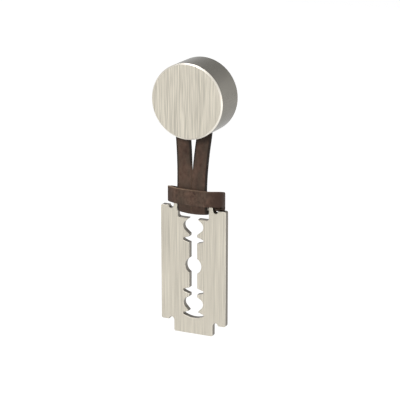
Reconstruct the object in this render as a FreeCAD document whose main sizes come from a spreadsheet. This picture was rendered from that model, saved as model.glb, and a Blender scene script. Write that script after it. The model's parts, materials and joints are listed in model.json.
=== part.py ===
import FreeCAD
import Part
import Sketcher
import math
import os
import re
from FreeCAD import Vector

# A drop pull for a drawer or a door: a round metal knob, a leather strap that hangs from it in
# two tails, and a razor-blade shaped plate carried by the strap in a lark's head hitch.
# Frame: the origin is the mouth of the fixing thread, on the face that lies against the drawer.
# +Z is up, +Y goes into the drawer and the front faces -Y.

os.makedirs("parts", exist_ok=True)
doc = FreeCAD.newDocument("razor_pull")

SIZES = {
    # the knob
    "knob_radius": 19.05,         # outer radius of the knob, 1.5 in across
    "knob_depth": 19.05,          # how far the knob stands off the drawer, 0.75 in
    "rim_chamfer": 0.7,           # chamfer round the front face
    "back_chamfer": 0.3,          # chamfer round the back edge
    "front_wall": 3.0,            # thickness of the front face
    "side_wall": 2.6,             # thickness of the wall round the cavity
    "plate_thickness": 2.0,       # back plate
    "plate_ledge": 0.8,           # width of the step that the back plate sits on
    "fit_gap": 0.05,              # radial gap of pieces that fit into each other
    # the fixing thread, M4
    "thread_radius": 1.65,        # core of the M4 thread
    "thread_depth": 13.0,         # depth of the thread from the back
    "insert_wall": 0.65,          # wall of the threaded insert
    "flange_rim": 2.3,            # how far the insert's flange reaches beyond its bush
    "post_wall": 0.8,             # wall of the post that holds the insert
    # back plate screws
    "plate_screw_radius": 1.0,    # shank of a plate screw
    "plate_screw_cone": 0.9,      # how far its countersunk head reaches beyond the shank
    "plate_screw_length": 8.0,    # length of a plate screw
    "plate_boss_wall": 1.1,       # wall of the boss round a plate screw
    "plate_boss_gap": 0.25,       # gap between that boss and the knob's wall
    # strap clamp
    "anchor_rise": 1.0,           # height of the clamp screws above the knob's axis
    "anchor_wall": 1.35,          # wall of the boss that each tail is clamped to
    "clamp_thickness": 1.2,       # clamp bar
    "clamp_rim": 0.5,             # how far the clamp bar reaches beyond the screw heads
    "clamp_screw_radius": 1.25,   # shank of a clamp screw
    "clamp_head_rim": 1.05,       # how far its pan head reaches beyond the shank
    "clamp_head_height": 1.4,     # height of the pan head
    "clamp_screw_grip": 4.0,      # length of the clamp screw in its boss
    # the strap
    "strap_width": 7.94,          # width of the leather, 5/16 in
    "strap_thickness": 1.7,       # thickness of the leather
    "seam_gap": 0.3,              # gap between the tails where they lie side by side
    "post_gap": 0.45,             # gap between a tail and the post, at the knob's axis
    "strap_plane": 10.35,         # middle of the strap in the knob, from the back
    "tail_beyond": 4.2,           # length of each tail beyond its clamp screw
    "tail_corner": 3.0,           # corner radius at the top of a tail
    "flex_reach": 1.35,           # from the knob's rim down to where the strap flexes
    "flex_gap": 0.05,             # gap above and below each place where the strap flexes
    "strap_reach": 36.25,         # from the knob's rim down to the bar of the blade
    "split_rise": 7.0,            # from the bend up to where the tails part
    "bend_rise": 1.46,            # from the band up to where the tails turn upright
    "slot_side_gap": 0.25,        # gap beside the strap in the knob's slot
    "slot_front_gap": 2.4,        # gap in front of and behind the strap in the slot
    # the hitch
    "bar_gap": 0.1,               # gap between the bar and the leather
    "layer_gap": 0.05,            # gap between two layers of leather
    "band_gap": 0.15,             # gap between the tails and the band across them
    "ear_gap": 0.7,               # gap between the band and the ears below it
    "loop_gap": 5.41,             # free space beside the tails inside the band
    "band_front_corner": 6.5,     # outer radius of the band's front corners
    "band_rear_corner": 3.2,      # outer radius of the band's rear corners
    # the blade
    "hang_offset": 0.25,          # how far the blade's plane hangs behind the strap's in the knob
    "blade_thickness": 3.0,       # thickness of the blade
    "blade_half_width": 17.9,     # half the width over the cutting edges
    "edge_length": 60.8,          # length of the cutting edges
    "wing_corner": 0.9,           # corner radius of the cutting edges' ends
    "bar_rise": 0.45,             # bar above the ends of the cutting edges
    "ear_rise": 1.2,              # top of the ears above the bar's axis
    "ear_width": 2.15,            # width of each ear
    "ear_corner": 0.6,            # corner radius of the ears
    "tab_reach": 6.05,            # how far the lower tab reaches below the cutting edges
    "tab_corner": 0.7,            # corner radius of the lower tab
    "relief_radius": 1.4,         # radius of the notch beside each tab
    "relief_gap": 0.15,           # gap between that notch and the tab
    "window_gap": 0.51,           # gap beside the strap in the window
    "window_depth": 6.0,          # bottom of the window below the bar
    "window_corner": 1.2,         # corner radius of the window's floor
    "neck_half_width": 2.7,       # half the width of the necks beyond the lobes
    "slot_half_width": 2.15,      # half the width of the long slot down the middle
    "upper_lobe_inset": 9.65,     # sides of the upper lobe below the upper end of the cutting edges
    "lower_lobe_inset": 10.95,    # sides of the lower lobe above their lower end
    "lobe_point": 7.3,            # where the flanks of a lobe would meet, from the middle
    "lobe_radius": 3.05,          # round at the sides of a lobe
    "upper_lobe_rise": 3.75,      # top of the upper lobe above its sides
    "upper_lobe_fall": 4.2,       # foot of the upper lobe below its sides
    "lower_lobe_rise": 2.85,      # top of the lower lobe above its sides
    "lower_lobe_fall": 4.75,      # foot of the lower lobe below its sides
    "eye_radius": 4.45,           # round hole in the middle
    "cross_half_width": 5.65,     # half the width of a cross cut, tip to tip
    "cross_tip": 0.45,            # half the height of a tip
    "cross_corner": 0.35,         # corner radius of a tip
    "cross_rise": 2.3,            # top of a cross cut above its tips
    "cross_fall": 1.85,           # lowest line of a cross cut below its tips
    "upper_cross": 7.05,          # upper cross cut below the sides of the upper lobe
    "lower_cross": 6.0,           # lower cross cut above the sides of the lower lobe
    "end_cross": 6.55,            # end cross cut below the sides of the lower lobe
    "blade_edge": 0.2,            # chamfer of the blade's front edges
}

# What follows from those sizes. Depths named drop are below the knob's axis, and planes, fronts,
# backs, insides and outsides are distances from the drawer.
FORMULAS = {
    "cavity_radius": "Sizes.knob_radius - Sizes.side_wall",
    "front_inside": "Sizes.knob_depth - Sizes.front_wall",
    "insert_radius": "Sizes.thread_radius + Sizes.insert_wall",
    "post_radius": "$insert_radius + Sizes.post_wall",
    "plate_head_radius": "Sizes.plate_screw_radius + Sizes.plate_screw_cone",
    "plate_boss_radius": "Sizes.plate_screw_radius + Sizes.plate_boss_wall",
    "plate_screw_place": "($cavity_radius - Sizes.plate_boss_gap - $plate_boss_radius) * sqrt(0.5)",
    "clamp_head_radius": "Sizes.clamp_screw_radius + Sizes.clamp_head_rim",
    "clamp_half_height": "$clamp_head_radius + Sizes.clamp_rim",
    "strap_front": "Sizes.strap_plane + Sizes.strap_thickness / 2",
    "strap_back": "Sizes.strap_plane - Sizes.strap_thickness / 2",
    "tail_top": "Sizes.anchor_rise + Sizes.tail_beyond",
    "flex_drop": "Sizes.knob_radius + Sizes.flex_reach",
    "flex_top": "$flex_drop - Sizes.strap_thickness / 2 - Sizes.flex_gap",
    "bar_drop": "Sizes.knob_radius + Sizes.strap_reach",
    "band_bottom": "$bar_drop - Sizes.ear_rise - Sizes.ear_gap",
    "band_top": "$band_bottom - Sizes.strap_width",
    "bend_drop": "$band_top - Sizes.bend_rise",
    "split_drop": "$bend_drop - Sizes.split_rise",
    "seam": "Sizes.seam_gap / 2",
    "spread": "($post_radius + Sizes.post_gap - $seam) / $split_drop",
    "seam_side": "$seam + Sizes.strap_width",
    "bar_radius": "Sizes.blade_thickness / 2",
    "blade_plane": "Sizes.strap_plane - Sizes.hang_offset",
    "blade_back": "$blade_plane - Sizes.blade_thickness / 2",
    "wrap_inner": "$bar_radius + Sizes.bar_gap",
    "wrap_outer": "$wrap_inner + Sizes.strap_thickness",
    "tail_plane": "$blade_plane + $wrap_inner + Sizes.strap_thickness / 2",
    "band_inside": "$blade_plane + $wrap_outer + Sizes.band_gap",
    "band_outside": "$band_inside + Sizes.strap_thickness",
    "return_inside": "$blade_plane - $wrap_outer - Sizes.layer_gap",
    "return_outside": "$return_inside - Sizes.strap_thickness",
    "band_half_width": "$seam_side + Sizes.loop_gap + Sizes.strap_thickness",
    "centre_drop": "$bar_drop + Sizes.bar_rise + Sizes.edge_length / 2",
    "window_half_width": "$seam_side + Sizes.window_gap",
    "tab_half_width": "$window_half_width + Sizes.ear_width",
    "relief_place": "$tab_half_width + Sizes.relief_gap + Sizes.relief_radius",
    "upper_lobe": "$centre_drop - Sizes.edge_length / 2 + Sizes.upper_lobe_inset",
    "lower_lobe": "$centre_drop + Sizes.edge_length / 2 - Sizes.lower_lobe_inset",
}

sheet = doc.addObject("Spreadsheet::Sheet", "Sizes")
for row, (alias, value) in enumerate(SIZES.items(), start=1):
    sheet.set("A%d" % row, alias)
    sheet.set("B%d" % row, str(value))
    sheet.setAlias("B%d" % row, alias)
doc.recompute()


def size(text):
    """An expression in which each $name has become its formula, over the cells of the sheet."""
    return re.sub(r"\$(\w+)", lambda found: "(%s)" % size(FORMULAS[found.group(1)]), text)


def number(text):
    """The value of such an expression, in millimetres."""
    result = sheet.evalExpression(size(text))
    return float(getattr(result, "Value", result))


def tail_inner(drop):
    """How far a tail's inner edge is from the middle, at a drop."""
    return "($seam + ($split_drop - (%s)) * $spread)" % drop


def tail_middle(drop):
    """How far the middle of a tail is from the middle, at a drop."""
    return "(%s + Sizes.strap_width / 2)" % tail_inner(drop)


def lean(drop):
    """How far the strap's middle plane stands off the drawer, between the knob and the hitch."""
    share = "((%s) - $flex_drop) / ($bend_drop - $flex_drop)" % drop
    return "(Sizes.strap_plane + ($tail_plane - Sizes.strap_plane) * %s)" % share


ANCHOR_PLACE = tail_middle("-Sizes.anchor_rise")
SLOT_HALF = "(%s + Sizes.strap_width + Sizes.slot_side_gap)" % tail_inner("0.7 * Sizes.knob_radius")


# ---------------------------------------------------------------- sketch and feature helpers

def new_body(label):
    """An empty body with the label that names its file."""
    body = doc.addObject("PartDesign::Body", label)
    body.Label = label
    return body


def new_sketch(body, name, plane, offset="0"):
    """A sketch on an origin plane of the body, moved along the plane's normal."""
    sketch = body.newObject("Sketcher::SketchObject", name)
    support = [item for item in body.Origin.OriginFeatures if item.Role == plane][0]
    sketch.AttachmentSupport = [(support, "")]
    sketch.MapMode = "FlatFace"
    sketch.setExpression("AttachmentOffset.Base.z", size(offset))
    return sketch


def pin_point(sketch, element, which, across, up):
    """Hold one point of a sketch element at two expressions from the sketch's origin."""
    for kind, text, axis in (("DistanceX", across, -2), ("DistanceY", up, -1)):
        value = number(text)
        if abs(value) < 1e-9:
            sketch.addConstraint(Sketcher.Constraint("PointOnObject", element, which, axis))
            continue
        ends = (-1, 1, element, which) if value > 0 else (element, which, -1, 1)
        index = sketch.addConstraint(Sketcher.Constraint(kind, *ends, abs(value)))
        sketch.setExpression("Constraints[%d]" % index, size(text if value > 0 else "-(%s)" % text))


def add_circle(sketch, across, up, radius):
    """A circle with its centre and radius tied to the sheet."""
    centre = Vector(number(across), number(up), 0)
    index = sketch.addGeometry(Part.Circle(centre, Vector(0, 0, 1), number(radius)))
    pin_point(sketch, index, 3, across, up)
    held = sketch.addConstraint(Sketcher.Constraint("Radius", index, number(radius)))
    sketch.setExpression("Constraints[%d]" % held, size(radius))


def add_polygon(sketch, corners):
    """A closed outline of straight lines through corners that are tied to the sheet."""
    points = [Vector(number(across), number(up), 0) for across, up in corners]
    first = None
    for start, end in zip(points, points[1:] + points[:1]):
        index = sketch.addGeometry(Part.LineSegment(start, end))
        first = index if first is None else first
    count = len(points)
    for step in range(count):
        following = first + (step + 1) % count
        sketch.addConstraint(Sketcher.Constraint("Coincident", first + step, 2, following, 1))
    for step, (across, up) in enumerate(corners):
        pin_point(sketch, first + step, 1, across, up)


def add_box(sketch, left, right, low, high):
    """A rectangle between four expressions."""
    add_polygon(sketch, ((left, low), (right, low), (right, high), (left, high)))


def add_feature(body, kind, name, sketch, length, reverse=False):
    """A pad or a pocket of the sketch, checked to change the solid."""
    before = body.Shape.Volume if body.Tip else 0.0
    feature = body.newObject("PartDesign::" + kind, name)
    feature.Profile = sketch
    feature.setExpression("Length", size(length))
    feature.Reversed = reverse
    sketch.Visibility = False
    doc.recompute()
    changed = feature.Shape.Volume - before
    if (changed <= 1e-6) if kind == "Pad" else (changed >= -1e-6):
        raise RuntimeError("%s of %s changes nothing" % (name, body.Label))
    return feature


def dress(body, kind, name, text, chosen):
    """A fillet or a chamfer on the edges that a test picks."""
    base = body.Tip
    names = ["Edge%d" % (k + 1) for k, edge in enumerate(base.Shape.Edges) if chosen(edge)]
    if not names:
        raise RuntimeError("%s finds no edge" % name)
    feature = body.newObject("PartDesign::" + kind, name)
    feature.Base = (base, names)
    feature.setExpression("Radius" if kind == "Fillet" else "Size", size(text))
    doc.recompute()
    return feature


def near(first, second):
    """Whether two lengths are the same to a hundredth of a millimetre."""
    return abs(first - second) < 0.01


def runs_along(edge, axis, *places):
    """Whether a straight edge runs along an axis through one of the places, as (x, y, z)."""
    if not isinstance(edge.Curve, Part.Line) or abs(edge.tangentAt(edge.FirstParameter)[axis]) < 0.999:
        return False
    middle = edge.CenterOfMass
    others = [k for k in range(3) if k != axis]
    return any(all(place[k] is None or near(middle[k], place[k]) for k in others) for place in places)


def is_round(edge, radius, depth):
    """Whether an edge is a circle about a Y axis, of this radius, at this y."""
    return (isinstance(edge.Curve, Part.Circle) and near(edge.Curve.Radius, radius)
            and near(edge.Curve.Center.y, depth) and abs(edge.Curve.Axis.y) > 0.999)


def mirrored(source, label):
    """The mirror image of a piece across the middle plane."""
    copy = doc.addObject("Part::Mirroring", label)
    copy.Label = label
    copy.Source = source
    copy.Normal = Vector(1, 0, 0)
    copy.Base = Vector(0, 0, 0)
    return copy


# ---------------------------------------------------------------- the knob

def make_knob_cap():
    """A turned cup with a post, two anchor bosses, two screw bosses and a slot for the strap."""
    body = new_body("knob_cap")
    sketch = new_sketch(body, "cap_round", "XZ_Plane")
    add_circle(sketch, "0", "0", "Sizes.knob_radius")
    add_feature(body, "Pad", "cap_blank", sketch, "Sizes.knob_depth")
    front = -number("Sizes.knob_depth")
    radius = number("Sizes.knob_radius")
    dress(body, "Chamfer", "cap_front_rim", "Sizes.rim_chamfer", lambda edge: is_round(edge, radius, front))
    dress(body, "Chamfer", "cap_back_rim", "Sizes.back_chamfer", lambda edge: is_round(edge, radius, 0))

    sketch = new_sketch(body, "cavity_round", "XZ_Plane")
    add_circle(sketch, "0", "0", "$cavity_radius")
    add_feature(body, "Pocket", "cavity", sketch, "$front_inside", reverse=True)
    sketch = new_sketch(body, "seat_round", "XZ_Plane")
    add_circle(sketch, "0", "0", "$cavity_radius + Sizes.plate_ledge")
    add_feature(body, "Pocket", "plate_seat", sketch, "Sizes.plate_thickness", reverse=True)

    sketch = new_sketch(body, "post_round", "XZ_Plane", "$front_inside")
    add_circle(sketch, "0", "0", "$post_radius")
    add_feature(body, "Pad", "post", sketch, "$front_inside - Sizes.plate_thickness", reverse=True)
    sketch = new_sketch(body, "plate_boss_rounds", "XZ_Plane", "$front_inside")
    for side in ("-", ""):
        add_circle(sketch, side + "$plate_screw_place", "$plate_screw_place", "$plate_boss_radius")
    add_feature(body, "Pad", "plate_bosses", sketch, "$front_inside - Sizes.plate_thickness", reverse=True)
    sketch = new_sketch(body, "anchor_rounds", "XZ_Plane", "$front_inside")
    for side in ("-", ""):
        add_circle(sketch, side + ANCHOR_PLACE, "Sizes.anchor_rise",
                   "Sizes.clamp_screw_radius + Sizes.anchor_wall")
    add_feature(body, "Pad", "anchor_bosses", sketch, "$front_inside - $strap_front", reverse=True)

    sketch = new_sketch(body, "insert_round", "XZ_Plane")
    add_circle(sketch, "0", "0", "$insert_radius")
    add_feature(body, "Pocket", "insert_bore", sketch, "Sizes.thread_depth", reverse=True)
    sketch = new_sketch(body, "plate_screw_rounds", "XZ_Plane")
    for side in ("-", ""):
        add_circle(sketch, side + "$plate_screw_place", "$plate_screw_place", "Sizes.plate_screw_radius")
    add_feature(body, "Pocket", "plate_screw_bores", sketch, "Sizes.plate_screw_length", reverse=True)
    sketch = new_sketch(body, "clamp_screw_rounds", "XZ_Plane", "$strap_front")
    for side in ("-", ""):
        add_circle(sketch, side + ANCHOR_PLACE, "Sizes.anchor_rise", "Sizes.clamp_screw_radius")
    add_feature(body, "Pocket", "clamp_screw_bores", sketch, "Sizes.clamp_screw_grip", reverse=True)

    start = "-(sqrt($cavity_radius ^ 2 - %s ^ 2) - Sizes.slot_side_gap)" % SLOT_HALF
    sketch = new_sketch(body, "slot_box", "XY_Plane", start)
    add_box(sketch, "-" + SLOT_HALF, SLOT_HALF,
            "-($strap_front + Sizes.slot_front_gap)", "-($strap_back - Sizes.slot_front_gap)")
    add_feature(body, "Pocket", "strap_slot", sketch, "Sizes.knob_radius")
    return body


def make_back_plate():
    """The disc that closes the knob, with its middle open for the insert."""
    body = new_body("back_plate")
    sketch = new_sketch(body, "plate_round", "XZ_Plane")
    add_circle(sketch, "0", "0", "$cavity_radius + Sizes.plate_ledge - Sizes.fit_gap")
    add_feature(body, "Pad", "plate_blank", sketch, "Sizes.plate_thickness")
    sketch = new_sketch(body, "plate_holes", "XZ_Plane")
    add_circle(sketch, "0", "0", "$insert_radius + Sizes.flange_rim + Sizes.fit_gap")
    for side in ("-", ""):
        add_circle(sketch, side + "$plate_screw_place", "$plate_screw_place",
                   "Sizes.plate_screw_radius + Sizes.fit_gap")
    add_feature(body, "Pocket", "plate_bores", sketch, "Sizes.plate_thickness", reverse=True)
    bore = number("Sizes.plate_screw_radius + Sizes.fit_gap")
    dress(body, "Chamfer", "countersinks", "Sizes.plate_screw_cone",
          lambda edge: is_round(edge, bore, 0))
    return body


def make_threaded_insert():
    """A flanged bush with the fixing thread, open at the back."""
    body = new_body("threaded_insert")
    sketch = new_sketch(body, "flange_round", "XZ_Plane")
    add_circle(sketch, "0", "0", "$insert_radius + Sizes.flange_rim")
    add_feature(body, "Pad", "flange", sketch, "Sizes.plate_thickness")
    sketch = new_sketch(body, "bush_round", "XZ_Plane")
    add_circle(sketch, "0", "0", "$insert_radius")
    add_feature(body, "Pad", "bush", sketch, "Sizes.thread_depth")
    sketch = new_sketch(body, "thread_round", "XZ_Plane")
    add_circle(sketch, "0", "0", "Sizes.thread_radius")
    add_feature(body, "Pocket", "thread_core", sketch, "Sizes.thread_depth", reverse=True)
    return body


def make_screw(label, shank_radius, head_radius, head_height, length, cone):
    """A screw along -Y from the origin, with a slot across its head."""
    body = new_body(label)
    sketch = new_sketch(body, label + "_head_round", "XZ_Plane")
    add_circle(sketch, "0", "0", head_radius)
    add_feature(body, "Pad", label + "_head", sketch, head_height)
    rim = number(head_radius)
    under = -number(head_height)
    if cone:
        dress(body, "Chamfer", label + "_cone", "(%s - %s) * 0.999" % (head_radius, shank_radius),
              lambda edge: is_round(edge, rim, under))
    else:
        dress(body, "Fillet", label + "_dome", "Sizes.clamp_head_height * 0.5",
              lambda edge: is_round(edge, rim, 0))
    sketch = new_sketch(body, label + "_shank_round", "XZ_Plane")
    add_circle(sketch, "0", "0", shank_radius)
    add_feature(body, "Pad", label + "_shank", sketch, length)
    sketch = new_sketch(body, label + "_driver_box", "XZ_Plane")
    half = "(%s * 0.15)" % head_radius
    add_box(sketch, "-" + half, half, "-%s" % head_radius, head_radius)
    add_feature(body, "Pocket", label + "_driver_slot", sketch, head_height + " * 0.45", reverse=True)
    return body


def place_pair(screw, label, across, depth, up):
    """Two copies of a screw, mirrored about the middle, in one node."""
    copies = []
    for side in ("-", ""):
        copy = doc.addObject("App::Link", label + ("_left" if side else "_right"))
        copy.LinkedObject = screw
        copy.LinkTransform = False
        for axis, text in (("x", side + across), ("y", "-(%s)" % depth), ("z", up)):
            copy.setExpression("Placement.Base." + axis, size(text))
        copies.append(copy)
    group = doc.addObject("Part::Compound", label)
    group.Label = label
    group.Links = copies
    return group


def make_strap_clamp():
    """The bar that holds both tails down on their bosses, open in the middle for the post."""
    body = new_body("strap_clamp")
    half = "(%s + $clamp_half_height)" % ANCHOR_PLACE
    sketch = new_sketch(body, "clamp_outline", "XZ_Plane", "$strap_back - Sizes.clamp_thickness")
    low = "Sizes.anchor_rise - $clamp_half_height"
    high = "Sizes.anchor_rise + $clamp_half_height"
    add_box(sketch, "-" + half, half, low, high)
    add_feature(body, "Pad", "clamp_blank", sketch, "Sizes.clamp_thickness")
    side = number(half)
    ends = [(x, None, z) for x in (-side, side) for z in (number(low), number(high))]
    dress(body, "Fillet", "clamp_ends", "$clamp_half_height * 0.9", lambda edge: runs_along(edge, 1, *ends))
    sketch = new_sketch(body, "clamp_holes", "XZ_Plane", "$strap_back")
    add_circle(sketch, "0", "0", "$post_radius + Sizes.fit_gap")
    for side in ("-", ""):
        add_circle(sketch, side + ANCHOR_PLACE, "Sizes.anchor_rise",
                   "Sizes.clamp_screw_radius + Sizes.fit_gap")
    add_feature(body, "Pocket", "clamp_bores", sketch, "Sizes.clamp_thickness * 2")
    return body


# ---------------------------------------------------------------- the strap

def make_strap_end():
    """The right tail inside the knob, clamped flat on its boss."""
    body = new_body("strap_end_right")
    sketch = new_sketch(body, "end_outline", "XZ_Plane", "$strap_back")
    top = "-$tail_top"
    add_polygon(sketch, (
        (tail_inner("$flex_top"), "-$flex_top"),
        (tail_inner("$flex_top") + " + Sizes.strap_width", "-$flex_top"),
        (tail_inner(top) + " + Sizes.strap_width", "$tail_top"),
        (tail_inner(top), "$tail_top"),
    ))
    add_feature(body, "Pad", "end_blank", sketch, "Sizes.strap_thickness")
    inner = number(tail_inner(top))
    height = number("$tail_top")
    corners = [(inner, None, height), (inner + number("Sizes.strap_width"), None, height)]
    dress(body, "Fillet", "end_corners", "Sizes.tail_corner", lambda edge: runs_along(edge, 1, *corners))
    sketch = new_sketch(body, "end_hole", "XZ_Plane", "$strap_back")
    add_circle(sketch, ANCHOR_PLACE, "Sizes.anchor_rise", "Sizes.clamp_screw_radius + Sizes.fit_gap")
    add_feature(body, "Pocket", "end_punching", sketch, "Sizes.strap_thickness", reverse=True)
    return body


def make_strap_tail():
    """The right tail from the knob to where the tails meet, leaning forward and inward."""
    body = new_body("strap_tail_right")
    half = "Sizes.strap_thickness / 2"
    reach = "(%s + Sizes.strap_width)" % tail_inner("$flex_drop")
    foot = "($split_drop - Sizes.flex_gap)"
    sketch = new_sketch(body, "tail_side", "YZ_Plane")
    add_polygon(sketch, (
        ("-(%s + %s)" % (lean("$flex_drop"), half), "-$flex_drop"),
        ("-(%s + %s)" % (lean(foot), half), "-" + foot),
        ("-(%s - %s)" % (lean(foot), half), "-" + foot),
        ("-(%s - %s)" % (lean("$flex_drop"), half), "-$flex_drop"),
    ))
    add_feature(body, "Pad", "tail_blank", sketch, reach)
    sketch = new_sketch(body, "tail_round", "YZ_Plane")
    add_circle(sketch, "-Sizes.strap_plane", "-$flex_drop", half)
    add_feature(body, "Pad", "tail_knuckle", sketch, reach)
    above = "($flex_drop - Sizes.strap_thickness)"
    below = "$split_drop"
    sketch = new_sketch(body, "tail_sides", "XZ_Plane", "2 * Sizes.knob_depth")
    add_polygon(sketch, (
        ("-Sizes.strap_width", "-" + above),
        ("-Sizes.strap_width", "-" + below),
        (tail_inner(below), "-" + below),
        (tail_inner(above), "-" + above),
    ))
    outside = "(%s + 2 * Sizes.strap_width)" % tail_inner(above)
    add_polygon(sketch, (
        (outside, "-" + above),
        (tail_inner(above) + " + Sizes.strap_width", "-" + above),
        (tail_inner(below) + " + Sizes.strap_width", "-" + below),
        (outside, "-" + below),
    ))
    add_feature(body, "Pocket", "tail_trim", sketch, "3 * Sizes.knob_depth")
    return body


def make_hitch_wrap():
    """The right tail in the hitch: down in front of the bar, under it and up behind it."""
    body = new_body("hitch_wrap_right")
    half = "Sizes.strap_thickness / 2"
    head = "($split_drop + Sizes.flex_gap)"
    sketch = new_sketch(body, "wrap_side", "YZ_Plane", "$seam")
    front = "-($blade_plane + $wrap_outer)"
    inside = "-($blade_plane + $wrap_inner)"
    add_polygon(sketch, (
        ("-(%s + %s)" % (lean(head), half), "-" + head),
        (front, "-$bend_drop"),
        (front, "-$bar_drop"),
        (inside, "-$bar_drop"),
        (inside, "-$bend_drop"),
        ("-(%s - %s)" % (lean(head), half), "-" + head),
    ))
    add_feature(body, "Pad", "wrap_front", sketch, "Sizes.strap_width")
    sketch = new_sketch(body, "wrap_round", "YZ_Plane", "$seam")
    add_circle(sketch, "-$blade_plane", "-$bar_drop", "$wrap_outer")
    add_feature(body, "Pad", "wrap_turn", sketch, "Sizes.strap_width")
    sketch = new_sketch(body, "wrap_hollow", "YZ_Plane", "$seam_side")
    add_circle(sketch, "-$blade_plane", "-$bar_drop", "$wrap_inner")
    add_feature(body, "Pocket", "wrap_bore", sketch, "Sizes.strap_width")
    sketch = new_sketch(body, "wrap_gap", "YZ_Plane", "$seam_side")
    add_box(sketch, inside, "-($blade_plane - $wrap_outer)", "-$bar_drop", "-$bend_drop")
    add_feature(body, "Pocket", "wrap_opening", sketch, "Sizes.strap_width")
    sketch = new_sketch(body, "wrap_back", "XZ_Plane", "$blade_plane - $wrap_outer")
    add_polygon(sketch, (
        ("$seam", "-$bar_drop"),
        ("$seam_side", "-$bar_drop"),
        ("$seam_side", "-$band_top"),
        ("$seam", "-$band_bottom"),
    ))
    add_feature(body, "Pad", "wrap_rise", sketch, "Sizes.strap_thickness")
    return body


def make_hitch_band():
    """The loop of the hitch: across the tails, round both sides and back to the folds."""
    body = new_body("hitch_band")
    half = "$band_half_width"
    front = "-$band_outside"
    back = "-$return_outside"
    sketch = new_sketch(body, "band_outline", "XY_Plane", "-$band_bottom")
    add_box(sketch, "-" + half, half, front, back)
    add_feature(body, "Pad", "band_block", sketch, "Sizes.strap_width")
    inner = "($band_half_width - Sizes.strap_thickness)"
    sketch = new_sketch(body, "band_hollow_outline", "XY_Plane", "-$band_top")
    add_box(sketch, "-" + inner, inner, "-$band_inside", "-$return_inside")
    add_feature(body, "Pocket", "band_hollow", sketch, "Sizes.strap_width")
    rounds = (
        ("inner_front", inner, "-$band_inside", "Sizes.band_front_corner - Sizes.strap_thickness"),
        ("inner_rear", inner, "-$return_inside", "Sizes.band_rear_corner - Sizes.strap_thickness"),
        ("outer_front", half, front, "Sizes.band_front_corner"),
        ("outer_rear", half, back, "Sizes.band_rear_corner"),
    )
    for name, across, depth, radius in rounds:
        corners = [(x, number(depth), None) for x in (-number(across), number(across))]
        dress(body, "Fillet", "band_" + name, radius, lambda edge: runs_along(edge, 2, *corners))

    sketch = new_sketch(body, "fold_gap", "XZ_Plane", "$return_inside")
    add_polygon(sketch, (
        ("-$seam", "-$band_bottom"),
        ("$seam", "-$band_bottom"),
        ("$seam_side", "-$band_top"),
        ("-$seam_side", "-$band_top"),
    ))
    add_feature(body, "Pocket", "folds", sketch, "2 * Sizes.strap_thickness")
    return body


# ---------------------------------------------------------------- the blade

def add_cross_cut(sketch, drop):
    """A cross cut: a straight rise from each tip to the slot, blunt tips and a round fall below."""
    side, high, low = (number(text) for text in ("Sizes.cross_half_width", "Sizes.cross_tip - (%s)" % drop,
                                                 "-Sizes.cross_tip - (%s)" % drop))
    middle = Vector(0, number("-Sizes.cross_fall - (%s)" % drop), 0)
    corners = (("Sizes.cross_half_width", "-Sizes.cross_tip - (%s)" % drop),
               ("Sizes.cross_half_width", "Sizes.cross_tip - (%s)" % drop),
               ("0", "Sizes.cross_rise - (%s)" % drop),
               ("-Sizes.cross_half_width", "Sizes.cross_tip - (%s)" % drop),
               ("-Sizes.cross_half_width", "-Sizes.cross_tip - (%s)" % drop))
    points = [Vector(number(across), number(up), 0) for across, up in corners]
    lines = [sketch.addGeometry(Part.LineSegment(start, end)) for start, end in zip(points, points[1:])]
    arc = sketch.addGeometry(Part.Arc(points[4], middle, points[0]))
    for first, second in zip(lines, lines[1:]):
        sketch.addConstraint(Sketcher.Constraint("Coincident", first, 2, second, 1))
    starts_left = sketch.getPoint(arc, 1).x < 0
    sketch.addConstraint(Sketcher.Constraint("Coincident", lines[3], 2, arc, 1 if starts_left else 2))
    sketch.addConstraint(Sketcher.Constraint("Coincident", lines[0], 1, arc, 2 if starts_left else 1))
    for line, (across, up) in zip(lines, corners):
        pin_point(sketch, line, 1, across, up)
    pin_point(sketch, lines[3], 2, *corners[4])
    dip = "(Sizes.cross_fall - Sizes.cross_tip)"
    radius = "((Sizes.cross_half_width ^ 2 + %s ^ 2) / (2 * %s))" % (dip, dip)
    held = sketch.addConstraint(Sketcher.Constraint("Radius", arc, number(radius)))
    sketch.setExpression("Constraints[%d]" % held, size(radius))
    return [(x, None, z) for x in (-side, side) for z in (low, high)]


def add_lobe(sketch, drop, top, foot, rise, fall):
    """A lobe: slanted flanks from a narrow top and foot to a point at each side."""
    above, below = "%s - (%s)" % (rise, drop), "-%s - (%s)" % (fall, drop)
    add_polygon(sketch, ((top, above), ("-" + top, above), ("-Sizes.lobe_point", "-(%s)" % drop),
                         ("-" + foot, below), (foot, below), ("Sizes.lobe_point", "-(%s)" % drop)))
    side = number("Sizes.lobe_point")
    return [(x, None, -number(drop)) for x in (-side, side)]


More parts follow.
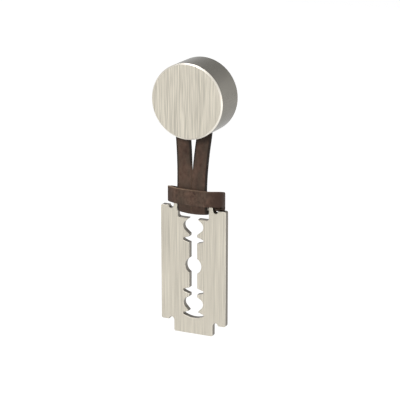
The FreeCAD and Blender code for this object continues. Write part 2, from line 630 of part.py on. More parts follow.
def make_blade():
    """The plate in the shape of a double-edged razor blade, with the round bar it hangs by."""
    body = new_body("blade_plate")
    face = "$blade_back"
    wing_top = "-($centre_drop - Sizes.edge_length / 2)"
    wing_bottom = "-($centre_drop + Sizes.edge_length / 2)"
    ear_top = "-($bar_drop - Sizes.ear_rise)"
    tab_bottom = "-($centre_drop + Sizes.edge_length / 2 + Sizes.tab_reach)"
    wing = "Sizes.blade_half_width"
    tab = "$tab_half_width"

    sketch = new_sketch(body, "wings_outline", "XZ_Plane", face)
    add_box(sketch, "-" + wing, wing, wing_bottom, wing_top)
    add_feature(body, "Pad", "wings", sketch, "Sizes.blade_thickness")
    side = number(wing)
    ends = [(x, None, number(z)) for x in (-side, side) for z in (wing_bottom, wing_top)]
    dress(body, "Fillet", "wing_corners", "Sizes.wing_corner", lambda edge: runs_along(edge, 1, *ends))

    sketch = new_sketch(body, "reliefs", "XZ_Plane", face)
    for x in ("-$relief_place", "$relief_place"):
        for z in (wing_top, wing_bottom):
            add_circle(sketch, x, z, "Sizes.relief_radius")
    add_feature(body, "Pocket", "relief_cuts", sketch, "Sizes.blade_thickness", reverse=True)

    sketch = new_sketch(body, "tabs_outline", "XZ_Plane", face)
    add_box(sketch, "-" + tab, tab, tab_bottom, ear_top)
    add_feature(body, "Pad", "tabs", sketch, "Sizes.blade_thickness")
    side = number(tab)
    low_ends = [(x, None, number(tab_bottom)) for x in (-side, side)]
    dress(body, "Fillet", "tab_corners", "Sizes.tab_corner", lambda edge: runs_along(edge, 1, *low_ends))
    high_ends = [(x, None, number(ear_top)) for x in (-side, side)]
    dress(body, "Fillet", "ear_corners", "Sizes.ear_corner", lambda edge: runs_along(edge, 1, *high_ends))

    window = "$window_half_width"
    floor = "-($bar_drop + Sizes.window_depth)"
    sketch = new_sketch(body, "window_outline", "XZ_Plane", face)
    add_box(sketch, "-" + window, window, floor, ear_top + " + Sizes.blade_thickness")
    add_feature(body, "Pocket", "window", sketch, "Sizes.blade_thickness", reverse=True)
    side = number(window)
    low_corners = [(x, None, number(floor)) for x in (-side, side)]
    dress(body, "Fillet", "window_corners", "Sizes.window_corner",
          lambda edge: runs_along(edge, 1, *low_corners))

    necks = (("upper", "-$upper_lobe", floor + " + Sizes.window_corner"),
             ("lower", "-($lower_lobe + Sizes.end_cross)", "-$lower_lobe"))
    for name, low, high in necks:
        sketch = new_sketch(body, name + "_neck_outline", "XZ_Plane", face)
        add_box(sketch, "-Sizes.neck_half_width", "Sizes.neck_half_width", low, high)
        add_feature(body, "Pocket", name + "_neck", sketch, "Sizes.blade_thickness", reverse=True)
    sketch = new_sketch(body, "slot_outline", "XZ_Plane", face)
    add_box(sketch, "-Sizes.slot_half_width", "Sizes.slot_half_width", "-$lower_lobe", "-$upper_lobe")
    add_feature(body, "Pocket", "long_slot", sketch, "Sizes.blade_thickness", reverse=True)
    sketch = new_sketch(body, "eye_round", "XZ_Plane", face)
    add_circle(sketch, "0", "-$centre_drop", "Sizes.eye_radius")
    add_feature(body, "Pocket", "eye", sketch, "Sizes.blade_thickness", reverse=True)

    neck, slot = "Sizes.neck_half_width", "Sizes.slot_half_width"
    for name, top, foot in (("upper", neck, slot), ("lower", slot, neck)):
        sketch = new_sketch(body, name + "_lobe_outline", "XZ_Plane", face)
        points = add_lobe(sketch, "$%s_lobe" % name, top, foot,
                          "Sizes.%s_lobe_rise" % name, "Sizes.%s_lobe_fall" % name)
        add_feature(body, "Pocket", name + "_lobe", sketch, "Sizes.blade_thickness", reverse=True)
        dress(body, "Fillet", name + "_lobe_rounds", "Sizes.lobe_radius",
              lambda edge: runs_along(edge, 1, *points))

    crosses = (("upper", "$upper_lobe + Sizes.upper_cross"), ("lower", "$lower_lobe - Sizes.lower_cross"),
               ("end", "$lower_lobe + Sizes.end_cross"))
    for name, drop in crosses:
        sketch = new_sketch(body, name + "_cross_outline", "XZ_Plane", face)
        tips = add_cross_cut(sketch, drop)
        add_feature(body, "Pocket", name + "_cross", sketch, "Sizes.blade_thickness", reverse=True)
        dress(body, "Fillet", name + "_cross_tips", "Sizes.cross_corner",
              lambda edge: runs_along(edge, 1, *tips))

    front = -number("$blade_back + Sizes.blade_thickness")
    dress(body, "Chamfer", "front_edges", "Sizes.blade_edge",
          lambda edge: near(edge.BoundBox.YMin, front) and near(edge.BoundBox.YMax, front))

    sketch = new_sketch(body, "bar_round", "YZ_Plane", "-$tab_half_width + Sizes.blade_edge")
    add_circle(sketch, "-$blade_plane", "-$bar_drop", "$bar_radius")
    add_feature(body, "Pad", "bar", sketch, "2 * ($tab_half_width - Sizes.blade_edge)")
    return body


# ---------------------------------------------------------------- all the pieces

def build_all():
    """Every piece of the pull, in the order of its assembly."""
    cap = make_knob_cap()
    plate = make_back_plate()
    insert = make_threaded_insert()
    plate_screw = make_screw("plate_screw", "Sizes.plate_screw_radius", "$plate_head_radius",
                             "Sizes.plate_screw_cone", "Sizes.plate_screw_length", True)
    plate_screws = place_pair(plate_screw, "plate_screws", "$plate_screw_place", "0", "$plate_screw_place")
    clamp = make_strap_clamp()
    stack = "Sizes.clamp_head_height + Sizes.clamp_thickness"
    clamp_screw = make_screw("clamp_screw", "Sizes.clamp_screw_radius", "$clamp_head_radius",
                             "Sizes.clamp_head_height",
                             stack + " + Sizes.strap_thickness + Sizes.clamp_screw_grip", False)
    clamp_screws = place_pair(clamp_screw, "clamp_screws", ANCHOR_PLACE,
                              "$strap_back - (%s)" % stack, "Sizes.anchor_rise")
    pieces = [cap, plate, insert, plate_screws, clamp, clamp_screws]
    for piece in (make_strap_end(), make_strap_tail(), make_hitch_wrap()):
        pieces += [piece, mirrored(piece, piece.Label.replace("_right", "_left"))]
    pieces += [make_hitch_band(), make_blade()]
    doc.recompute()
    return pieces


def check_and_write(pieces):
    """Stop on any failed object or bad shape, then write one STEP file for each piece."""
    for item in doc.Objects:
        if "Invalid" in item.State or "Error" in item.State:
            raise RuntimeError("%s failed: %s" % (item.Label, item.State))
    for piece in pieces:
        shape = piece.Shape
        if shape.isNull() or not shape.isValid() or shape.Volume <= 0:
            raise RuntimeError("%s has no valid shape" % piece.Label)
    for piece in pieces:
        piece.Shape.exportStep("parts/%s.step" % piece.Label)
        print("%-18s %9.2f mm3  %d solid(s)" % (piece.Label, piece.Shape.Volume, len(piece.Shape.Solids)))


check_and_write(build_all())
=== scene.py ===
import json
import math

import bmesh
import bpy
from bpy.props import FloatProperty, FloatVectorProperty, PointerProperty
from mathutils import Matrix, Vector
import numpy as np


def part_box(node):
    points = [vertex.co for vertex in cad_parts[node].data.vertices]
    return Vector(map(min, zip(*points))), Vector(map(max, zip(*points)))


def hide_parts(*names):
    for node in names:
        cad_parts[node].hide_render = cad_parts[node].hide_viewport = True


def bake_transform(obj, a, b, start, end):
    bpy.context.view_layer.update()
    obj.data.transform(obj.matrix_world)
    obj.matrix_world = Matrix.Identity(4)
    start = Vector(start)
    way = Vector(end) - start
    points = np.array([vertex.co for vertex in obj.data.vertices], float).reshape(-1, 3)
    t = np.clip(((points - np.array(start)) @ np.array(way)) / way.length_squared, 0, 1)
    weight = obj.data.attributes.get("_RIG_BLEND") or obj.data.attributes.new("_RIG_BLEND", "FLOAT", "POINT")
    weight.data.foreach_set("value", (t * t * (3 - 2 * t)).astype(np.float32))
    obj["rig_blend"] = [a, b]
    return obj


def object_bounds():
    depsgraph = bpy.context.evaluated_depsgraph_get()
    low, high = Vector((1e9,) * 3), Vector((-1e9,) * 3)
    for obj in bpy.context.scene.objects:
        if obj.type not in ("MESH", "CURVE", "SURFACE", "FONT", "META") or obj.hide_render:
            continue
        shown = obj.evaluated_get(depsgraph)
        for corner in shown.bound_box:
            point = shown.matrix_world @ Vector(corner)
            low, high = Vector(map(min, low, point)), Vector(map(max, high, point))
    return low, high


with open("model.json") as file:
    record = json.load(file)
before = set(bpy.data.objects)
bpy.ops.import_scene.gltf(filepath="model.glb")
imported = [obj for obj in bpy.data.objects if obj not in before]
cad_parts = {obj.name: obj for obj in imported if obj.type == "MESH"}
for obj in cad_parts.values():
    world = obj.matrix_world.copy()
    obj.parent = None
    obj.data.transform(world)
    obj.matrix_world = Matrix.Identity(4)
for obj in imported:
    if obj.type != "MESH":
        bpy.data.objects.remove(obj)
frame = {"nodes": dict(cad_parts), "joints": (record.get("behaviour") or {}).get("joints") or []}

bl_info = {
    "name": "Razor Drop Pull",
    "version": (1, 0, 0),
    "blender": (4, 5, 0),
    "location": "View3D > Sidebar > Drop Pull",
    "description": "Dresses a knob with a leather strap and a hanging razor-blade shaped plate",
    "category": "Add Mesh",
}

MM = 0.001
CAD_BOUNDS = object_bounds()
JOINTS = {joint["name"]: joint for joint in frame["joints"]}
FLEX = Vector(JOINTS["strap_flex"]["pos_m"])
BAR = Vector(JOINTS["blade_tilt"]["pos_m"])
END_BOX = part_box("strap_end_right")
WRAP_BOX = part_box("hitch_wrap_right")
BAND_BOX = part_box("hitch_band")
BLADE_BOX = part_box("blade_plate")
KNOB_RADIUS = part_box("knob_cap")[1].x

STRAP_WIDTH = WRAP_BOX[1].x - WRAP_BOX[0].x
STRAP_THICKNESS = END_BOX[1].y - END_BOX[0].y
STRAP_PLANE = (END_BOX[0].y + END_BOX[1].y) / 2
TAIL_TOP = END_BOX[1].z
FRONT_PLANE = WRAP_BOX[0].y + STRAP_THICKNESS / 2
BACK_PLANE = WRAP_BOX[1].y - STRAP_THICKNESS / 2
RETURN_PLANE = BAND_BOX[1].y - STRAP_THICKNESS / 2
BAND_PLANE = BAND_BOX[0].y + STRAP_THICKNESS / 2
SIDE_PLANE = BAND_BOX[1].x - STRAP_THICKNESS / 2
# With the blade tilted back by 45 degrees, its back face lies where y + z has this value
TILTED_BACK = BAR.y + BAR.z + (BLADE_BOX[1].y - BAR.y) * math.sqrt(2)


# ---------------------------------------------------------------- what a user would change

class LeatherSettings(bpy.types.PropertyGroup):
    edge_round: FloatProperty(
        name="Edge round", description="Radius of the burnished edges of the strap",
        default=0.38 * MM, min=0.1 * MM, max=0.8 * MM, unit="LENGTH")
    front_corner: FloatProperty(
        name="Front corner", description="Outer radius of the loop's front corners",
        default=3.25 * MM, unit="LENGTH")
    rear_corner: FloatProperty(
        name="Rear corner", description="Outer radius of the loop's rear corners",
        default=3.2 * MM, unit="LENGTH")
    sweep: FloatProperty(
        name="Sweep", description="How far the ends of the loop's front lean back",
        default=math.radians(25), subtype="ANGLE")
    sweep_start: FloatProperty(
        name="Sweep start", description="Where the front begins to lean back, from the middle",
        default=9.2 * MM, unit="LENGTH")
    sag: FloatProperty(
        name="Sag", description="How far the folds behind the bar hang down",
        default=2.1 * MM, unit="LENGTH")
    squash: FloatProperty(
        name="Squash", description="How much the folds behind the bar are pressed down",
        default=0.17, subtype="FACTOR")
    left_droop: FloatVectorProperty(
        name="Left droop",
        description="How far the loop's lower and upper edge hang at its left rear corner",
        default=(1.5 * MM, 1.9 * MM), size=2, unit="LENGTH")
    right_droop: FloatVectorProperty(
        name="Right droop",
        description="How far the loop's lower and upper edge hang at its right rear corner",
        default=(5.0 * MM, 3.3 * MM), size=2, unit="LENGTH")
    slack: FloatProperty(
        name="Slack", description="How far the strap hangs free below the middle of the bar",
        default=0.7 * MM, unit="LENGTH")
    bulge: FloatProperty(
        name="Bulge", description="How far the front of the loop bulges",
        default=0.35 * MM, unit="LENGTH")
    left_shift: FloatProperty(
        name="Left shift", description="How far the left end of the loop sits to the right",
        default=1.05 * MM, unit="LENGTH")
    right_shift: FloatProperty(
        name="Right shift", description="How far the right end of the loop sits to the right",
        default=0.65 * MM, unit="LENGTH")
    colour: FloatVectorProperty(
        name="Colour", description="Colour of the leather", subtype="COLOR", size=3,
        default=(0.066, 0.037, 0.026), min=0, max=1)
    worn_colour: FloatVectorProperty(
        name="Worn colour", description="Colour where the leather is pulled lighter",
        subtype="COLOR", size=3, default=(0.178, 0.106, 0.074), min=0, max=1)
    olive_colour: FloatVectorProperty(
        name="Olive colour", description="Colour of the cooler patches", subtype="COLOR", size=3,
        default=(0.088, 0.066, 0.047), min=0, max=1)
    # the burnished edges' own colour, also used for the painted shadow under the knob
    edge_and_shadow_colour: FloatVectorProperty(
        name="Edge colour", description="Colour of the burnished edges", subtype="COLOR",
        size=3, default=(0.026, 0.018, 0.014), min=0, max=1)
    # painted highlight: a light colour for the loop's upper edge and the line where the tails lie side by
    # side
    edge_highlight_colour: FloatVectorProperty(
        name="Bare colour", description="Colour of the worn upper edge of the loop", subtype="COLOR",
        size=3, default=(0.30, 0.20, 0.135), min=0, max=1)
    edge_reach: FloatProperty(
        name="Edge reach", description="How far the dark edges reach onto the faces",
        default=1.2 * MM, unit="LENGTH")
    seam_gap: FloatProperty(
        name="Seam gap", description="Gap between the tails where they lie side by side",
        default=0.06 * MM, unit="LENGTH")


class MetalSettings(bpy.types.PropertyGroup):
    face_colour: FloatVectorProperty(
        name="Face colour", description="Colour of the brushed front faces", subtype="COLOR",
        size=3, default=(0.572, 0.534, 0.454), min=0, max=1)
    # painted shade: the knob's wall colour is darker than the face colour
    side_shaded_colour: FloatVectorProperty(
        name="Side colour", description="Colour of the knob's wall", subtype="COLOR",
        size=3, default=(0.275, 0.26, 0.228), min=0, max=1)
    # painted shade: the blade's cut walls are darker still
    cut_shaded_colour: FloatVectorProperty(
        name="Cut colour", description="Colour of the blade's cut walls", subtype="COLOR",
        size=3, default=(0.245, 0.225, 0.195), min=0, max=1)
    # painted highlight on the chamfers
    chamfer_highlight_colour: FloatVectorProperty(
        name="Chamfer colour", description="Colour of the bright chamfers", subtype="COLOR",
        size=3, default=(0.80, 0.76, 0.68), min=0, max=1)
    steel_colour: FloatVectorProperty(
        name="Steel colour", description="Colour of the zinc plated steel", subtype="COLOR",
        size=3, default=(0.40, 0.395, 0.38), min=0, max=1)
    brass_colour: FloatVectorProperty(
        name="Brass colour", description="Colour of the insert", subtype="COLOR",
        size=3, default=(0.60, 0.44, 0.18), min=0, max=1)
    wall_roughness: FloatProperty(
        name="Wall roughness", description="Roughness of the smooth walls",
        default=0.24, subtype="FACTOR")
    streak_width: FloatProperty(
        name="Streak width", description="Width of the widest brushed streaks",
        default=1.1 * MM, unit="LENGTH")


class StageSettings(bpy.types.PropertyGroup):
    azimuth: FloatProperty(
        name="Azimuth", description="Turn of the camera to the right of the front",
        default=math.radians(24.794), subtype="ANGLE")
    elevation: FloatProperty(
        name="Elevation", description="Height of the camera above the level",
        default=math.radians(16.164), subtype="ANGLE")
    distance: FloatProperty(
        name="Distance", description="From the camera to its target",
        default=818.46 * MM, unit="LENGTH")
    ambient: FloatProperty(
        name="Ambient", description="Light of the room around the pull, where 1 is white", default=0.45)
    focal_length: FloatProperty(
        name="Focal length", description="Focal length on a 36 mm sensor, in millimetres",
        default=145.64)


# ---------------------------------------------------------------- materials

class Nodes:
    """Adds and joins the nodes of one material or of the world."""

    def __init__(self, owner):
        owner.use_nodes = True
        self.owner = owner
        self.tree = owner.node_tree
        self.shader = self.tree.nodes.get("Principled BSDF") or self.tree.nodes["Background"]
        self.coordinates = self.tree.nodes.new("ShaderNodeTexCoord")

    def add(self, kind, **settings):
        node = self.tree.nodes.new("ShaderNode" + kind)
        for name, value in settings.items():
            if name in node.inputs.keys():
                node.inputs[name].default_value = value
            else:
                setattr(node, name, value)
        return node

    def join(self, source, target):
        """Link a socket to an input, or set the input to a number or a colour."""
        if isinstance(source, bpy.types.NodeSocket):
            self.tree.links.new(source, target)
        else:
            target.default_value = source if isinstance(source, (int, float)) else (*source, 1.0)

    def mapped(self, scale):
        """The piece's own coordinates, scaled."""
        mapping = self.add("Mapping", Scale=scale)
        self.join(self.coordinates.outputs["Object"], mapping.inputs["Vector"])
        return mapping.outputs["Vector"]

    def parted(self, output):
        """One of the coordinates, as the three outputs X, Y and Z."""
        node = self.add("SeparateXYZ")
        self.join(self.coordinates.outputs[output], node.inputs["Vector"])
        return node.outputs

    def noise(self, scale, detail=3.0, roughness=0.5):
        """Noise whose features are 1 / scale metres along each axis."""
        node = self.add("TexNoise", Scale=1.0, Detail=detail, Roughness=roughness)
        self.join(self.mapped(scale), node.inputs["Vector"])
        return node.outputs["Fac"]

    def spread(self, value, low, high, out_low=0.0, out_high=1.0, interpolation="LINEAR"):
        """A value stretched from one range to another and held inside it."""
        node = self.add("MapRange", clamp=True, interpolation_type=interpolation)
        for name, number in (("From Min", low), ("From Max", high),
                             ("To Min", out_low), ("To Max", out_high)):
            node.inputs[name].default_value = number
        self.join(value, node.inputs["Value"])
        return node.outputs["Result"]

    def mix(self, factor, first, second):
        """Two colours mixed. Each is a colour or a socket."""
        node = self.add("Mix", data_type="RGBA")
        for name, value in (("Factor_Float", factor), ("A_Color", first), ("B_Color", second)):
            self.join(value, next(item for item in node.inputs if item.identifier == name))
        return next(item for item in node.outputs if item.identifier == "Result_Color")

    def maths(self, operation, first, second=0.0):
        """Two values joined by an operation. Some operations use the first alone."""
        node = self.add("Math", operation=operation)
        self.join(first, node.inputs[0])
        self.join(second, node.inputs[1])
        return node.outputs["Value"]

    def plus(self, first, second):
        return self.maths("ADD", first, second)

    def times(self, first, second):
        return self.maths("MULTIPLY", first, second)

    def bump(self, height, distance, strength, under=None):
        """A relief of a height, which may lie on another relief under it."""
        node = self.add("Bump", Distance=distance, Strength=strength)
        self.join(height, node.inputs["Height"])
        if under is not None:
            self.join(under, node.inputs["Normal"])
        return node.outputs["Normal"]

    def finish(self, colour, roughness, normal=None, **sockets):
        """Join or set the shader's main sockets and return the material."""
        for name, value in (("Base Color", colour), ("Roughness", roughness), ("Normal", normal)):
            if value is not None:
                self.join(value, self.shader.inputs[name])
        for name, value in sockets.items():
            self.shader.inputs[name.replace("_", " ")].default_value = value
        return self.owner


def satin_nickel(name, settings, wall_shaded_colour, contrast, reach, highlight_strength):
    """Satin nickel: faces brushed upright, smoother walls darkened by painted shade, and chamfers between
    them lightened by a painted highlight.

    The contrast is that of the streaks, the reach their length in streak widths, and the
    highlight strength says how much of the painted chamfer highlight the chamfers take.
    """
    nodes = Nodes(bpy.data.materials.new(name))
    width = 1 / settings.streak_width
    broad = nodes.noise((width, width, width / 40), detail=2.0)
    fine = nodes.noise((width * 5.4, width * 5.4, width / reach), detail=1.0)
    streaks = nodes.plus(nodes.times(broad, 0.15), nodes.times(fine, 0.85))
    shade = nodes.spread(streaks, 0.38, 0.62)
    face = tuple(settings.face_colour)
    streaked = nodes.mix(shade, tuple(c * (1 - contrast) for c in face),
                         tuple(min(c * (1 + contrast), 1) for c in face))

    # which way a point faces tells the faces, the chamfers at their edges and the walls apart
    facing = nodes.maths("ABSOLUTE", nodes.parted("Normal")["Y"])
    faces = nodes.spread(facing, 0.55, 0.65)
    chamfers = nodes.maths("SUBTRACT", faces, nodes.spread(facing, 0.78, 0.9))
    cloudy = nodes.spread(nodes.noise((300, 300, 300), detail=3.0), 0.3, 0.7)
    # painted shade: the walls take a darker colour than the faces; their lower roughness is their smoother
    # finish
    side = tuple(wall_shaded_colour)
    wall = nodes.mix(cloudy, tuple(c * 0.96 for c in side), tuple(c * 1.04 for c in side))
    # painted highlight: the chamfers are lightened towards the chamfer colour
    colour = nodes.mix(nodes.times(chamfers, highlight_strength), nodes.mix(faces, wall, streaked),
                       tuple(settings.chamfer_highlight_colour))
    rough = nodes.times(faces, nodes.spread(shade, 0.0, 1.0, 1.0, 0.8))
    roughness = nodes.spread(rough, 0.0, 1.0, settings.wall_roughness, 0.46)
    brushing = nodes.bump(nodes.times(streaks, faces), 0.03 * MM, 0.6)
    return nodes.finish(colour, roughness, brushing, Metallic=0.85,
                        Specular_Tint=(0.65, 0.65, 0.65, 1.0))


def plain_metal(name, colour, roughness):
    """A turned or pressed metal with faint tool marks."""
    nodes = Nodes(bpy.data.materials.new(name))
    marks = nodes.spread(nodes.noise((500, 1500, 500), detail=2.0), 0.3, 0.7)
    shade = nodes.mix(marks, tuple(c * 0.95 for c in colour), tuple(min(c * 1.03, 1) for c in colour))
    rough = nodes.spread(marks, 0.0, 1.0, roughness + 0.05, roughness - 0.03)
    return nodes.finish(shade, rough, nodes.bump(marks, 0.003 * MM, 0.4), Metallic=1.0)


def strap_leather(settings):
    """Oiled full-grain leather: cloudy colour, fine pebbled grain, dark burnished edges."""
    nodes = Nodes(bpy.data.materials.new("brown_leather"))
    base, edge, edge_highlight = (tuple(colour) for colour in (
        settings.colour, settings.edge_and_shadow_colour, settings.edge_highlight_colour))
    place = nodes.parted("Object")
    rim = nodes.add("Attribute", attribute_name="rim").outputs["Fac"]
    outer = nodes.maths("MAXIMUM", rim, 0.0)
    inner = nodes.maths("MAXIMUM", nodes.times(rim, -1.0), 0.0)
    loop = nodes.add("Attribute", attribute_name="turned").outputs["Fac"]
    tail = nodes.maths("SUBTRACT", 1.0, loop)

    # wide clouds, small patches that are stronger on the loop, and cooler areas over both
    clouds = nodes.spread(nodes.noise((150, 150, 90), detail=4.0, roughness=0.6), 0.35, 0.68)
    mottle = nodes.spread(nodes.noise((700, 700, 500), detail=3.0, roughness=0.6), 0.35, 0.7)
    patches = nodes.maths("SUBTRACT", mottle, 0.5)
    patches = nodes.times(patches, nodes.plus(nodes.times(loop, 0.5), 0.4))
    worn = nodes.plus(nodes.times(clouds, 0.6), nodes.plus(patches, 0.2))
    colour = nodes.mix(worn, base, tuple(settings.worn_colour))
    hue = nodes.spread(nodes.noise((210, 210, 120), detail=3.0, roughness=0.6), 0.42, 0.62)
    colour = nodes.mix(nodes.times(hue, 0.6), colour, tuple(settings.olive_colour))

    # painted shade towards the ends of the loop, where it turns away, and painted shadow below the loop on
    # the way to the bar
    ends_from, ends_to = 8 * MM, 13.5 * MM
    across = nodes.maths("ABSOLUTE", place["X"])
    ends = nodes.times(nodes.spread(across, ends_from, ends_to, 0.0, 0.95), loop)
    colour = nodes.mix(ends, colour, base)
    under_from, under_to = -54 * MM, -57 * MM
    under = nodes.times(nodes.spread(place["Z"], under_to, under_from, 0.55, 0.0), tail)
    colour = nodes.mix(under, colour, base)

    # dark burnished edges along the tails, with a painted highlight line where the tails lie side by side
    together_from, apart_from = -36 * MM, -31 * MM
    apart = nodes.spread(place["Z"], together_from, apart_from)
    dark = nodes.spread(nodes.maths("MAXIMUM", outer, nodes.times(inner, apart)), 0.1, 0.6)
    colour = nodes.mix(nodes.times(dark, tail), colour, edge)
    seam = nodes.times(nodes.spread(inner, 0.8, 1.0), nodes.maths("SUBTRACT", 1.0, apart))
    colour = nodes.mix(nodes.times(seam, nodes.times(tail, 0.7)), colour, edge_highlight)

    # painted highlight along the upper edge of the loop, which fades towards the right
    bright_until, faded_at = -4 * MM, 12 * MM
    upper = nodes.times(nodes.spread(outer, 0.8, 0.96), loop)
    upper = nodes.times(upper, nodes.spread(place["X"], faded_at, bright_until, 0.25, 1.0))
    colour = nodes.mix(upper, colour, edge_highlight)

    # painted shadow of the knob on the tails, right under the knob, in the dark edge colour
    lowered, full, faded = 2.3 * MM, KNOB_RADIUS + 0.2 * MM, KNOB_RADIUS + 2.2 * MM
    height = nodes.plus(place["Z"], lowered)
    radius = nodes.maths("SQRT", nodes.plus(nodes.maths("POWER", place["X"], 2.0),
                                            nodes.maths("POWER", height, 2.0)))
    shade = nodes.spread(radius, full, faded, 0.7, 0.0)
    colour = nodes.mix(shade, colour, edge)

    pebbles = nodes.add("TexVoronoi", feature="F1", Scale=1.0)
    nodes.join(nodes.mapped((2600, 2600, 2600)), pebbles.inputs["Vector"])
    grain = nodes.bump(pebbles.outputs["Distance"], 0.04 * MM, 0.5)
    wrinkles = nodes.noise((500, 500, 350), detail=5.0, roughness=0.65)
    creases = nodes.bump(wrinkles, 0.12 * MM, 0.4, under=grain)
    roughness = nodes.spread(mottle, 0.0, 1.0, 0.72, 0.56)
    return nodes.finish(colour, roughness, creases, Sheen_Weight=0.04, Sheen_Roughness=0.5,
                        Specular_IOR_Level=0.2)


# ---------------------------------------------------------------- helpers for modelling

def ease(share):
    """A share held between 0 and 1, with a soft start and end."""
    share = min(max(share, 0.0), 1.0)
    return share * share * (3 - 2 * share)


def deselect():
    bpy.ops.object.select_all(action="DESELECT")


def selected_vertices(obj):
    """The edit mesh of the piece and its selected vertices."""
    edit = bmesh.from_edit_mesh(obj.data)
    return edit, [vertex for vertex in edit.verts if vertex.select]


def step_by(obj, matrix):
    """Extrude the open end of the strap and carry it through a matrix."""
    bpy.ops.mesh.extrude_region_move()
    edit, moved = selected_vertices(obj)
    bmesh.ops.transform(edit, matrix=matrix, verts=moved)
    bmesh.update_edit_mesh(obj.data)


def run_to(obj, direction, point, normal, length=1.5 * MM):
    """Extrude the end along a direction until it lies in a plane, in steps of about a length."""
    direction, point, normal = Vector(direction), Vector(point), Vector(normal)
    edit, moved = selected_vertices(obj)
    reach = max((point - vertex.co).dot(normal) / direction.dot(normal) for vertex in moved)
    steps = max(1, round(reach / length))
    for step in range(steps):
        bpy.ops.mesh.extrude_region_move()
        edit, moved = selected_vertices(obj)
        for vertex in moved:
            left = (point - vertex.co).dot(normal) / direction.dot(normal)
            vertex.co += direction * left / (steps - step)
        bmesh.update_edit_mesh(obj.data)


def turn(obj, angle, centre, axis, steps, mark=False):
    """Carry the end round an axis, as a bend or a fold of the strap. A mark grows along a fold."""
    swing = Matrix.Rotation(angle / steps, 4, Vector(axis).normalized())
    matrix = Matrix.Translation(Vector(centre)) @ swing @ Matrix.Translation(-Vector(centre))
    for step in range(1, steps + 1):
        step_by(obj, matrix)
        if mark:
            edit, moved = selected_vertices(obj)
            turned = edit.verts.layers.float["turned"]
            for vertex in moved:
                vertex[turned] = step / steps
            bmesh.update_edit_mesh(obj.data)


def strap_section(name, centre, settings):
    """The strap's cross section: a flat with round corners, cut into columns, its edges marked."""
    deselect()
    bpy.ops.mesh.primitive_plane_add(size=1, location=centre)
    obj = bpy.context.object
    obj.name = obj.data.name = name
    bpy.ops.object.mode_set(mode="EDIT")
    bpy.ops.transform.resize(value=(STRAP_WIDTH, STRAP_THICKNESS, 1))
    bpy.ops.mesh.bevel(affect="VERTICES", offset=settings.edge_round, segments=3)
    for column in range(-2, 3):
        bpy.ops.mesh.select_all(action="SELECT")
        place = centre + Vector((column * STRAP_WIDTH / 6, 0, 0))
        bpy.ops.mesh.bisect(plane_co=place, plane_no=(1, 0, 0))
    bpy.ops.mesh.select_all(action="SELECT")
    bpy.ops.object.mode_set(mode="OBJECT")
    bpy.ops.object.transform_apply(location=True, rotation=True, scale=True)
    obj.data.attributes.new("turned", "FLOAT", "POINT")
    rim = obj.data.attributes.new("rim", "FLOAT", "POINT")
    half = STRAP_WIDTH / 2
    rim.data.foreach_set("value", [
        math.copysign(max(0.0, 1 - (half - abs(vertex.co.x - centre.x)) / settings.edge_reach),
                      vertex.co.x - centre.x) for vertex in obj.data.vertices])
    bpy.ops.object.mode_set(mode="EDIT")
    bpy.ops.mesh.select_mode(type="VERT")
    bpy.ops.mesh.select_all(action="SELECT")
    return obj


def tail_place(height, settings):
    """The middle of the right tail at a height: spread and level in the knob, closing lower down."""
    anchor, anchor_height = 7.61 * MM, 1.0 * MM
    closed = (settings.seam_gap + STRAP_WIDTH) / 2
    meet = BAND_BOX[1].z + 0.66 * MM
    opening, growth = 0.0035 * MM, 1.9

    def hanging(level):
        """How far out the tail hangs, at a level above the place where both meet or below it."""
        return closed + opening * (max(level - meet, 0) / MM) ** growth

    if height > FLEX.z:
        low = hanging(FLEX.z)
        across = low + (anchor - low) * (height - FLEX.z) / (anchor_height - FLEX.z)
    else:
        across = hanging(height)

    # it leans forward to the front of the bar, a little less so the lower it is
    lean_from, lean_to, levelling = -17.1 * MM, -45.5 * MM, 0.12
    share = min(max((height - lean_from) / (lean_to - lean_from), 0), 1)
    forward = (1 + levelling) * share - levelling * share ** 4
    return Vector((across, STRAP_PLANE + (FRONT_PLANE - STRAP_PLANE) * forward, height))


# ---------------------------------------------------------------- the pieces

class DROPPULL_OT_metal(bpy.types.Operator):
    """Give the knob, the blade and the pieces inside the knob their metals"""
    bl_idname = "drop_pull.metal"
    bl_label = "Finish the metal"

    def execute(self, context):
        settings = context.scene.drop_pull_metal
        knob = satin_nickel("satin_nickel", settings, settings.side_shaded_colour,
                            contrast=0.21, reach=13, highlight_strength=1.0)
        blade = satin_nickel("satin_nickel_blade", settings, settings.cut_shaded_colour,
                             contrast=0.19, reach=26, highlight_strength=0.25)
        steel = plain_metal("zinc_plated_steel", tuple(settings.steel_colour), 0.35)
        brass = plain_metal("insert_brass", tuple(settings.brass_colour), 0.3)
        finishes = {
            "knob_cap": knob, "blade_plate": blade, "back_plate": steel, "plate_screws": steel,
            "strap_clamp": steel, "clamp_screws": steel, "threaded_insert": brass,
        }
        for node, material in finishes.items():
            frame["nodes"][node].material_slots[0].material = material
        return {"FINISHED"}


